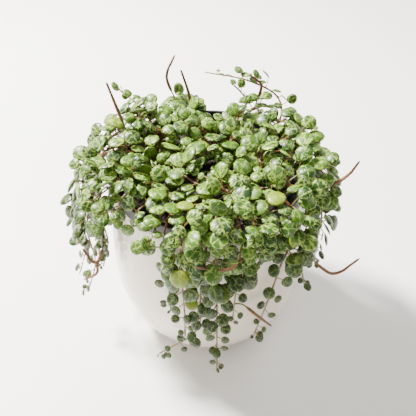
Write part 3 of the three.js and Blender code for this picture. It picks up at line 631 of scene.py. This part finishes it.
def leafPoints(leaves, draws):
    # the outline's radius is 1, a little less at the base's notch and more at the tip, with a slow ripple;
    # the height is the dome or the belly times the root of 1 less a power of the share. A fold adds to it
    # with the distance from the midrib, and a cup takes from it with the squared radius.
    s = leafShape
    share, side, turn, _ = leafGrid()
    tip = np.exp(-(np.minimum(turn, 2 * np.pi - turn) / s["pointSpread"]) ** 2)
    base = np.exp(-((turn - np.pi) / s["notchSpread"]) ** 2)
    outline = 1 + s["point"] * draws["point"][:, None] * tip - s["notch"] * base
    outline = outline * (1 + s["ripple"] * np.sin(3 * turn + 6 * draws["seed"][:, None]))
    x = np.sin(turn) * share * outline
    y = np.cos(turn) * share * outline
    size = leaves["radius"][:, None]
    full = np.minimum(size / s["fullRadius"], 1.15)
    rise = np.where(side > 0, s["dome"], s["belly"]) * np.sign(side)
    lift = np.sqrt(np.maximum(1 - share ** s["edgePower"], 0)) * rise * full
    lift = lift + draws["fold"][:, None] * s["fold"] * size * (np.abs(x) - 0.45)
    lift = lift - draws["cup"][:, None] * s["cup"] * size * (x**2 + y**2 - 0.5)
    sideways = np.cross(leaves["tipward"], leaves["face"])
    points = leaves["middle"][:, None] + sideways[:, None] * (x * size * s["width"])[..., None]
    points = points + leaves["tipward"][:, None] * (y * size)[..., None]
    points = points + leaves["face"][:, None] * lift[..., None]
    uv = np.stack([0.5 + 0.5 * x / outline.max(), 0.5 + 0.5 * y / outline.max()], -1)
    return points, uv


def stalkPaths(leaves):
    # an arc from the stem to just under the leaf, inside its edge
    root = leaves["root"]
    end = leaves["middle"] - leaves["tipward"] * leaves["radius"][:, None] * 0.74 - leaves["face"] * 0.25
    start = unit(leaves["out"] + 0.2 * leaves["face"])
    reach = lengths(end - root)[:, None]
    knee = root + start * reach * 0.55
    t = np.linspace(0, 1, 6)[None, :, None]
    return arc(root[:, None], knee[:, None], end[:, None], t)


# new leaves between those of the CAD vines

fillGrowth = {
    # leaves tried for each millimetre of stem: on top, hanging, over the lip at the front, and at the left
    "onTop": 0.42, "hanging": 0.05, "overLip": 0.8, "atLeft": 0.45, "youngShare": 0.35,
    "hangsBetween": (118, 98), "leftDownTo": 92, "frontUpTo": 20,
    "crownSizes": (3.8, 6.1), "hangingSizes": (2.4, 4.4), "youngSize": 0.62, "tipSize": 0.7,
    "tries": 18, "gap": 1.25, "tipGap": 0.75, "stemGap": 1.4, "stalkGap": 0.9, "potGap": 1.2,
    "stalkPotGap": 0.7,
    "tipLeaves": 3, "tipSpacing": 2.1, "shortStalk": 2.2, "longStalk": 8.5, "hangingStalk": 3.4,
    "tipStalks": (1.0, 2.2), "tipGrowth": 0.42,  # the radius a leaf gains with each place from the tip
    "light": (-0.15, -0.45, 1.0), "heart": (0, 0, 70), "nearLeaves": 26, "nearStems": (3.0, 20),
    "swing": 1.25, "forward": (-0.4, 0.9), "towardsLight": (0.2, 0.7), "scatter": 0.36, "droop": 0.7,
    "barePlaces": ((2, 58, 17), (-27, -60, 8)),  # x, y and radius of the gaps that show the black lip
}


leafKeys = ("middle", "face", "tipward", "radius", "root")


def isClear(new, old, stems, gap):
    # each new disc keeps a gap from the old discs, tested both ways at points on them, and from stems and
    # pots; its stalk keeps one from the old discs and the pots
    g = fillGrowth
    angle = evenTurns(14)
    circle = np.stack([np.cos(angle), np.sin(angle)], 1)
    circle = np.concatenate([circle, circle[::2] * 0.55, [[0, 0]]])

    def spread(l):
        sideways = np.cross(l["tipward"], l["face"])
        size = l["radius"][:, None, None]
        lengthwise = l["tipward"][:, None] * circle[:, :1] * size
        return l["middle"][:, None] + lengthwise + sideways[:, None] * circle[:, 1:] * size

    def away(points, discs):  # points a x p x 3 from discs b: a x b x p
        rel = points[:, None] - discs["middle"][None, :, None]
        height = (rel * discs["face"][None, :, None]).sum(-1)
        flat = np.sqrt(np.maximum((rel**2).sum(-1) - height**2, 0))
        return np.hypot(height, np.maximum(flat - discs["radius"][None, :, None], 0))

    mine = spread(new)
    ok = clearOfPots(mine, g["potGap"]).all(1)
    if len(old["radius"]):
        ok &= away(mine, old).min((1, 2)) > gap
        ok &= away(spread(old), new).min((0, 2)) > gap
    if len(stems):
        ok &= away(stems[None], new)[0].min(1) > g["stemGap"]
    reach = (new["base"] - new["root"])[:, None]
    stalk = new["root"][:, None] + reach * np.linspace(0.4, 1, 4)[None, :, None]
    if len(old["radius"]):
        ok &= away(stalk, old).min((1, 2)) > g["stalkGap"]
    return ok & clearOfPots(stalk, g["stalkPotGap"]).all(1)


def chancesAlong(name, path):  # how likely each millimetre is to get a new leaf
    g = fillGrowth
    x, y, z = path.T
    often = mix(g["onTop"], g["hanging"], smooth(*g["hangsBetween"], z))
    often = often * (g["youngShare"] if name.startswith("young") else 1)
    overLip = (np.hypot(x, y) > lipRadius - 8) & (z > lipTop - 14)
    often = np.where(overLip & (y < g["frontUpTo"]), g["overLip"], often)
    atLeft = (x < -lipRadius) & (z > g["leftDownTo"]) & ~overLip
    return np.where(atLeft, g["atLeft"], often)


def placesToGrow():
    # a draw, the vine, the place along it, its number from the tip or 0, and the vine's direction; in order
    # of the draws, with the tips' own last
    g = fillGrowth
    places = []
    for name, vine in vines.items():
        path = vine["path"]
        along = unit(np.gradient(path, axis=0))
        for i in np.flatnonzero(rng.random(len(path)) < chancesAlong(name, path)):
            places.append((rng.random(), name, max(i, 4), 0, along))
        for k in range(g["tipLeaves"]):
            places.append((2 + rng.random(), name, len(path) - 1.2 - g["tipSpacing"] * k, 1 + k, along))
    return sorted(places, key=lambda place: place[0])


def triedLeaves(name, at, way, share, tip):
    # leaves that could grow here: a stalk out from the stem, swung to a side, and a blade that faces between
    # outwards and the light, with its tip leaning down; the largest come first
    g = fillGrowth
    n = g["tries"]
    outward = unit(across(mix(unit(at - np.array(g["heart"], float)), np.array([0, 0, 1.0]), 0.25), way))
    sideways = np.cross(way, outward)
    swing = rng.uniform(-g["swing"], g["swing"], n)
    stalkWay = np.cos(swing)[:, None] * outward + np.sin(swing)[:, None] * sideways
    stalkWay = unit(stalkWay + rng.uniform(*g["forward"], n)[:, None] * way)
    leaning = mix(outward, unit(np.array(g["light"])), rng.uniform(*g["towardsLight"], n)[:, None])
    face = unit(leaning + rng.normal(0, g["scatter"], (n, 3)))
    droop = np.array([0, 0, -1.0]) * rng.uniform(0, g["droop"], n)[:, None]
    tipward = unit(across(stalkWay + droop, face))
    if tip:
        radius = np.full(n, 1.0 + g["tipGrowth"] * tip) * rng.uniform(0.85, 1.15, n)
        reach = rng.uniform(*g["tipStalks"], n)
    else:
        young = g["youngSize"] if name.startswith("young") else mix(1, g["tipSize"], smooth(0.6, 1, share))
        hangs = smooth(*g["hangsBetween"], at[2])
        sizes = mix(np.array(g["crownSizes"]), np.array(g["hangingSizes"]), hangs) * young
        radius = np.sort(rng.uniform(*sizes, n))[::-1]
        longest = mix(g["longStalk"], g["hangingStalk"], smooth(0.45, 0.8, share))
        reach = rng.uniform(g["shortStalk"], longest, n)
    base = at + stalkWay * (0.6 + reach)[:, None]
    leaves = {
        "middle": base + tipward * radius[:, None] * 0.8, "face": face, "tipward": tipward, "radius": radius,
        "root": np.broadcast_to(at, base.shape), "base": base,
    }
    return leaves, (stalkWay * face).sum(1) > 0.1


def growFill():
    # at each place the first leaf that is clear of the rest joins its vine
    g = fillGrowth
    grown = {key: [leaf[key] for v in vines.values() for leaf in v["leaves"]] for key in leafKeys}
    before = len(grown["radius"])
    stems = np.concatenate([v["path"] for v in vines.values()])
    for _, name, place, tip, along in placesToGrow():
        path = vines[name]["path"]
        i = int(min(max(place, 1), len(path) - 2))
        at = path[i]
        if any(math.hypot(at[0] - x, at[1] - y) < radius for x, y, radius in g["barePlaces"]):
            continue
        new, upright = triedLeaves(name, at, along[i], i / (len(path) - 1), tip)
        close = lengths(np.array(grown["middle"]) - at) < g["nearLeaves"]
        old = {key: np.array(grown[key])[close] for key in leafKeys}
        toStems = lengths(stems - at)
        nearStems = stems[(toStems > g["nearStems"][0]) & (toStems < g["nearStems"][1])]
        ok = isClear(new, old, nearStems, g["tipGap"] if tip else g["gap"]) & upright
        if ok.any():
            leaf = {key: new[key][int(np.argmax(ok))] for key in leafKeys}
            vines[name]["leaves"].append(leaf)
            for key in leafKeys:
                grown[key].append(leaf[key])
    print("leaves in all:", len(grown["radius"]), "of which new:", len(grown["radius"]) - before)


for vine in vines.values():
    vine["path"] = resample(vine["middles"], 1.0)
    for leaf in vine["leaves"]:  # the stalk starts inside the stem, where it comes nearest
        leaf["root"] = vine["path"][np.argmin(lengths(vine["path"] - leaf["root"]))]
growFill()


stemShape = {
    "sides": 6, "rootRadius": 0.82, "tipRadius": 0.42, "step": 1.6,
    "swelling": 0.28, "swellingLength": 0.9,  # where a leaf stalk leaves it
    "stalkSides": 5, "stalkRadii": (0.44, 0.36), "stalkYouth": 0.4,
}


def buildVine(name, materials):
    # blades first, then their stalks, then the stem, as one piece
    s = stemShape
    vine = vines[name]
    leaves = {key: np.array([leaf[key] for leaf in vine["leaves"]]) for key in leafKeys}
    count = len(leaves["radius"])
    leaves["out"] = unit(leaves["middle"] - leaves["tipward"] * leaves["radius"][:, None] - leaves["root"])
    draws = {"seed": rng.random(count), "point": rng.random(count), "fold": rng.uniform(-0.5, 0.8, count),
             "cup": rng.uniform(0.2, 1, count)}
    bladePoints, bladeUv = leafPoints(leaves, draws)
    size = bladePoints.shape[1]
    upperFace, upperCap, underFace, underCap = [copied(f, count, size) for f in leafGrid()[3]]
    parts = [(upperFace, 0), (upperCap, 0), (underFace, 1), (underCap, 1)]
    points = [bladePoints.reshape(-1, 3)]
    uv = [bladeUv.reshape(-1, 2)]
    # the hang share sets how much painted shade darkens a leaf: none above 136 mm, all of it below 108 mm
    per = {"leafSeed": draws["seed"], "leafKind": rng.random(count),
           "leafHangShade": smooth(136, 108, leaves["middle"][:, 2]), "leafAge": rng.random(count)}
    values = {key: [np.repeat(value, size)] for key, value in per.items()}
    values |= {"stemYouth": [np.zeros(count * size)], "stalkShare": [np.zeros(count * size)]}

    stalks = stalkPaths(leaves)
    stalkRadius = np.linspace(*s["stalkRadii"], stalks.shape[1])[None]
    stalkRadius = stalkRadius * np.sqrt(leaves["radius"] / leafShape["fullRadius"])[:, None]
    stem = resample(vine["middles"], s["step"])
    along = np.linspace(0, 1, len(stem))
    toNode = lengths(stem[:, None] - leaves["root"][None]).min(1)
    stemRadius = mix(s["rootRadius"], s["tipRadius"], along)
    stemRadius = stemRadius * (1 + s["swelling"] * np.exp(-(toNode / s["swellingLength"]) ** 2))
    stemYouth = np.concatenate([np.repeat(smooth(0.35, 1, along), s["sides"]), [0, 1]])
    for tube, youth, stalk in (
        (tubes(stalks, stalkRadius, s["stalkSides"]), s["stalkYouth"], 1.0),
        (tubes(stem[None], stemRadius[None], s["sides"]), stemYouth, 0.0),
    ):
        base = sum(len(p) for p in points)
        parts += [(faces + base, 2) for faces in tube[1:]]
        blank = np.zeros(len(tube[0]))
        points.append(tube[0])
        uv.append(np.stack([blank, blank], 1))
        for key in per:
            values[key].append(blank)
        values["stemYouth"].append(blank + youth)
        values["stalkShare"].append(blank + stalk)
    kinds = np.concatenate([np.full(len(f), kind) for f, kind in parts])
    values = {key: np.concatenate(v) for key, v in values.items()}
    faces = [f for f, _ in parts]
    piece = newPiece(name + "_leafy", np.concatenate(points), faces, materials, kinds,
                     np.concatenate(uv), values)
    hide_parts(name)


# flower spikes

spikeShape = {
    "sides": 8, "step": 0.9, "stalk": 0.5, "body": 1.1, "tip": 0.7, "stalkShare": 0.25,
    "taperFrom": 0.4, "roundFrom": 0.96, "waviness": 0.06, "waveTurn": 2.1,
    "frameCorners": 5,  # in each ring of the frame's spike
}


def readSpike(obj):  # the middles of its rings, from the wide end to the slim one
    points, triangles = weldedPoints(obj)
    near = neighboursOf(len(points), triangles)
    far = points[np.argmax(lengths(points - points.mean(0)))]
    first = np.argsort(lengths(points - far))[:spikeShape["frameCorners"]]
    rings, _ = ringsFrom(set(first.tolist()), near, set(range(len(points))))
    middles = np.array([points[r].mean(0) for r in rings])
    widths = [lengths(points[r] - m).mean() for r, m in zip(rings, middles)]
    return middles if widths[0] > widths[-1] else middles[::-1]


def buildSpike(name, material):
    # a slim stalk from the nearest stem, then a body that tapers to a round tip, with a slight waviness
    s = spikeShape
    middles = readSpike(nodes[name])
    stems = np.concatenate([v["path"] for v in vines.values()])
    root = stems[np.argmin(lengths(stems - middles[0]))]
    path = resample(np.concatenate([[root], middles]), s["step"])
    share = np.linspace(0, 1, len(path))
    radius = mix(s["stalk"], s["body"], smooth(s["stalkShare"], s["stalkShare"] + 0.08, share))
    taper = mix(s["body"], s["tip"], smooth(s["taperFrom"], 1, share))
    radius = np.where(share > s["taperFrom"], taper, radius)
    radius = radius * np.sqrt(np.maximum(1 - np.maximum(share - s["roundFrom"], 0) / 0.06, 0.1))
    wave = s["waviness"] * np.sin(np.arange(len(path)) * s["waveTurn"]) * (share > s["stalkShare"])
    radius = radius * (1 + wave)
    points, quads, caps = tubes(path[None], radius[None], s["sides"])
    along = np.concatenate([np.repeat(share, s["sides"]), [0, 1]])
    piece = newPiece(name + "_beaded", points, [quads, caps], [material],
                     attributes={"spikeShare": along})
    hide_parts(name)


# pots

def rounded(profile, radius, steps=4):
    # each corner of the profile replaced by a short curve that starts and ends this far from it
    p = np.asarray(profile, float)
    before, here, after = p[:-2], p[1:-1], p[2:]
    toBefore = np.linalg.norm(before - here, axis=1, keepdims=True)
    toAfter = np.linalg.norm(after - here, axis=1, keepdims=True)
    a = here + (before - here) * np.minimum(radius, toBefore * 0.45) / toBefore
    b = here + (after - here) * np.minimum(radius, toAfter * 0.45) / toAfter
    t = np.linspace(0, 1, steps)[None, :, None]
    curve = arc(a[:, None], here[:, None], b[:, None], t)
    return np.concatenate([p[:1], curve.reshape(-1, 2), p[-1:]])


def turned(name, profile, segments, material, slot, wobble=None):
    # a profile of radius and height, from the axis below to the axis above, turned about the vertical
    angle = evenTurns(segments)
    ring = np.stack([np.cos(angle), np.sin(angle)], 1)
    inner = profile[1:-1]
    steps = len(inner)
    heights = np.broadcast_to(inner[:, None, 1:], (steps, segments, 1))
    points = np.concatenate([inner[:, None, :1] * ring[None], heights], -1)
    if wobble is not None:
        points = wobble(points)
    poles = np.array([[0, 0, profile[0][1]], [0, 0, profile[-1][1]]])
    pole = steps * segments
    caps = [fanFaces(pole, 0, segments), fanFaces(pole + 1, pole - segments, segments, True)]
    faces = [ringFaces(steps, segments), np.concatenate(caps)]
    return newPiece(name, np.concatenate([points.reshape(-1, 3), poles]), faces, [material])


coverPot = {"wall": 4.0, "floor": 6.0, "footRound": 2.0, "rimRound": 0.9, "segments": 128}


def buildCoverPot(material):
    # outside: a quarter ellipse from the foot to the belly, then the belly's radius less a share squared of
    # what the mouth is narrower; inside: the same less the wall, down to the floor
    c = coverPot
    foot = coverRadii[0]
    bellyHeight = coverHeights[np.argmax(coverRadii)]
    underRim = (coverHeights[-2] - bellyHeight) / (coverTop - bellyHeight)
    mouth = bellyRadius - (bellyRadius - coverRadii[-2]) / underRim**2
    low = np.linspace(0, np.pi / 2, 26)[1:]
    below = np.stack([foot + (bellyRadius - foot) * np.sin(low), bellyHeight * (1 - np.cos(low))], 1)
    up = np.linspace(0, 1, 22)[1:]
    height = bellyHeight + (coverTop - 2.2 - bellyHeight) * up
    share = (height - bellyHeight) / (coverTop - bellyHeight)
    outside = np.concatenate([below, np.stack([bellyRadius - (bellyRadius - mouth) * share**2, height], 1)])
    wall, drop = c["wall"], c["rimRound"]
    rim = np.array([[-0.3, -drop], [-1.2, -0.05], [1.2 - wall, -0.05], [0.3 - wall, -drop]])
    inside = outside[::-1] - [wall, 0]
    inside = inside[inside[:, 1] > c["floor"]]
    base = rounded([[0, 0.0], [foot - 0.5, 0.0], outside[2]], c["footRound"])
    bottom = [[inside[-1, 0] - 2, c["floor"]], [0, c["floor"]]]
    profile = np.concatenate([base[:-1], outside[3:], rim + [mouth, coverTop], inside, bottom])
    piece = turned("glazedCoverPot", profile, c["segments"], material, "glazed_pot")
    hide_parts("cover_pot")


nurseryPot = {"lipThickness": 2.2, "wall": 1.4, "round": 0.7, "segments": 128}


def buildNurseryPot(material):
    # from the axis under the base, up the tapered body, round the lip and down the inside
    n = nurseryPot
    base, bodyBase = lipHeights[0], lipRadii[0]
    atLip = np.argmax(lipRadii > 0.95 * lipRadius)
    under, bodyTop = lipHeights[atLip], innerRadii[atLip]
    inner = lipRadius - 0.5 - n["lipThickness"]
    wall = n["wall"]
    dish = 1.2  # how far the middle of the base is raised
    profile = rounded([
        [0, base + dish], [bodyBase * 0.62, base + dish], [bodyBase * 0.66, base], [bodyBase, base],
        [bodyTop, under], [lipRadius - 0.4, under], [lipRadius, under + 1.4],
        [lipRadius - 0.3, lipTop - 2.2], [lipRadius - 0.5, lipTop], [inner, lipTop],
        [inner - 0.2, under + wall + 0.4], [bodyTop - wall, under + wall],
        [bodyBase - wall, base + wall + dish], [0, base + wall + dish],
    ], n["round"])
    piece = turned("blackNurseryPot", profile, n["segments"], material, "black_plastic")
    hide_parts("nursery_pot")


soilShape = {
    "segments": 150, "rings": 44, "roughness": 1.5,
    "crumbs": 420, "perliteShare": 0.35, "sunk": 0.35,
}


def lumpy(x, y, scale, seed):  # a sum of waves with turned directions, from about -1 to 1
    turn = np.random.default_rng(seed).uniform(0, 2 * np.pi, (7, 2))
    ways = [(x * np.cos(a) + y * np.sin(a), b) for a, b in turn]
    return sum(np.sin(way * scale * (1 + 0.35 * i) + b) for i, (way, b) in enumerate(ways)) / 3.5


def buildSoil(materials):
    s = soilShape
    edge = soilRim - 0.2

    def crumbled(points):
        x, y, z = np.moveaxis(points, -1, 0)
        calm = smooth(edge, edge - 4, np.hypot(x, y))
        rise = lumpy(x, y, 0.35, 1) + 0.6 * lumpy(x, y, 1.1, 2)
        lifted = points.copy()
        lifted[..., 2] += np.where(z > soilEdge - 1, (rise * 0.55 - 0.5) * calm * s["roughness"], 0)
        return lifted

    tops = np.linspace(1, 0.02, s["rings"])
    surface = np.stack([edge * tops, soilEdge + (soilTop - soilEdge) * (1 - tops**2)], 1)
    base = soilHeights[0]
    profile = np.concatenate([[[0, base], [soilRadii[0] - 0.2, base]], surface, [[0, soilTop - 0.4]]])
    piece = turned("pottingMix", profile, s["segments"], materials["darkMix"], "soil", crumbled)
    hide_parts("potting_soil")
    addCrumbs(edge, materials)


def addCrumbs(edge, materials):
    # balls of four rings of seven points, squashed, dented and sunk a little into the mix
    s = soilShape
    around, rings = 7, 4
    down = np.linspace(0, np.pi, rings + 2)[1:-1]
    u, v = np.meshgrid(down, evenTurns(around), indexing="ij")
    ball = np.stack([np.sin(u) * np.cos(v), np.sin(u) * np.sin(v), np.cos(u)], -1).reshape(-1, 3)
    ball = np.concatenate([ball, [[0, 0, 1], [0, 0, -1]]])
    pole = rings * around
    sides = ringFaces(rings, around)[:, [0, 3, 2, 1]]
    caps = np.concatenate([fanFaces(pole, 0, around, True), fanFaces(pole + 1, pole - around, around)])

    count = s["crumbs"]
    angle = rng.uniform(0, 2 * np.pi, count)
    r = (edge - 2) * np.sqrt(rng.random(count))
    pale = rng.random(count) < s["perliteShare"]
    size = np.where(pale, rng.uniform(0.5, 1.3, count), rng.uniform(0.6, 1.9, count))
    grain = rng.uniform(0.8, 1.2, (count, 3))
    chip = rng.uniform(0.5, 1.5, (count, 3)) * [1.4, 0.9, 0.5]
    shape = np.where(pale[:, None], grain, chip)
    dents = 1 + rng.uniform(-0.22, 0.22, (count, len(ball), 1))
    local = ball[None] * dents * shape[:, None] * size[:, None, None]
    turn = rng.uniform(0, 2 * np.pi, count)
    cos, sin = np.cos(turn)[:, None], np.sin(turn)[:, None]
    x, y, z = np.moveaxis(local, -1, 0)
    spun = np.stack([x * cos - y * sin, x * sin + y * cos, z], -1)
    height = soilEdge + (soilTop - soilEdge) * (1 - (r / edge) ** 2) - s["sunk"]
    placed = spun + np.stack([r * np.cos(angle), r * np.sin(angle), height], 1)[:, None]
    for which, name in ((pale, "perlite"), (~pale, "bark")):
        some = placed[which]
        faces = [copied(f, len(some), len(ball)) for f in (sides, caps)]
        newPiece(name + "Crumbs", some.reshape(-1, 3), faces, [materials[name]])


mixLooks = {
    "darkMix": {"dark": (0.012, 0.008, 0.005), "light": (0.05, 0.035, 0.022), "scale": 300, "depth": 0.0012},
    "perlite": {"dark": (0.5, 0.48, 0.44), "light": (0.75, 0.73, 0.68), "scale": 700, "depth": 0.0004},
    "bark": {"dark": (0.03, 0.016, 0.009), "light": (0.12, 0.07, 0.04), "scale": 500, "depth": 0.0005},
}

glazeLook = {
    "dark": (0.69, 0.61, 0.50), "light": (0.76, 0.69, 0.58), "speck": (0.5, 0.46, 0.4),
    "bare": (0.6, 0.55, 0.47), "coat": 0.5,
    "bareTo": 0.0018,  # how high the unglazed foot reaches, in metres
}


def glazeMaterial():
    material, tree, shader = newMaterial("whiteGlaze", 0.16)
    look = glazeLook
    where = placeOnObject(tree)
    slow = noise(tree, where, 28.0, 3.0)
    fine = noise(tree, where, 420.0, 3.0)
    specks = ramp(tree, cellDistance(tree, where, 260.0), 0.05, 0.02)
    bare = ramp(tree, parted(tree, where)[2], look["bareTo"], look["bareTo"] / 3)
    colour = blend(tree, look["dark"], look["light"], slow)
    colour = blend(tree, colour, look["speck"], times(tree, specks, 0.35))
    colour = blend(tree, colour, look["bare"], times(tree, bare, 0.7))
    roughness = plus(tree, mixNumber(tree, 0.12, 0.22, slow), times(tree, bare, 0.5))
    relief = plus(tree, slow, times(tree, fine, 0.06))
    dress(tree, shader, colour, bump(tree, relief, 0.0005, 0.5), roughness)
    setInputs(shader, {"Coat Weight": look["coat"], "Coat Roughness": 0.05})
    return material


plasticLook = {"clean": (0.006, 0.006, 0.0065), "dusty": (0.03, 0.028, 0.025)}


def blackPlasticMaterial():
    material, tree, shader = newMaterial("blackPlastic", 0.4)
    where = placeOnObject(tree)
    grain = noise(tree, where, 2400.0, 2.0)
    dust = noise(tree, where, 90.0, 5.0)
    colour = blend(tree, plasticLook["clean"], plasticLook["dusty"], ramp(tree, dust, 0.5, 0.9))
    dress(tree, shader, colour, bump(tree, grain, 0.00008), mixNumber(tree, 0.34, 0.6, dust))
    return material


def crumblyMaterial(name, dark, light, scale, depth):
    material, tree, shader = newMaterial(name, 0.9)
    where = placeOnObject(tree)
    lumps = noise(tree, where, scale, 6.0, Roughness=0.7)
    cells = cellDistance(tree, where, scale * 1.6)
    colour = blend(tree, dark, light, ramp(tree, lumps, 0.35, 0.7))
    relief = bump(tree, plus(tree, lumps, cells), depth)
    dress(tree, shader, colour, relief, mixNumber(tree, 0.75, 0.98, lumps))
    return material


placeCamera()
buildStudio()
print("camera and studio ready")
veins = shellVeins()
vineSurfaces = [leafUpperMaterial(veins), leafUnderMaterial(veins), stemMaterial()]
for name in vineNames:
    buildVine(name, vineSurfaces)
print("vines built")
spikeSurface = spikeMaterial()
for name in sorted(n for n in nodes if n.startswith("flower_spike")):
    buildSpike(name, spikeSurface)
print("flower spikes built")
buildCoverPot(glazeMaterial())
buildNurseryPot(blackPlasticMaterial())
buildSoil({name: crumblyMaterial(name, **look) for name, look in mixLooks.items()})
print("pots and potting mix built")
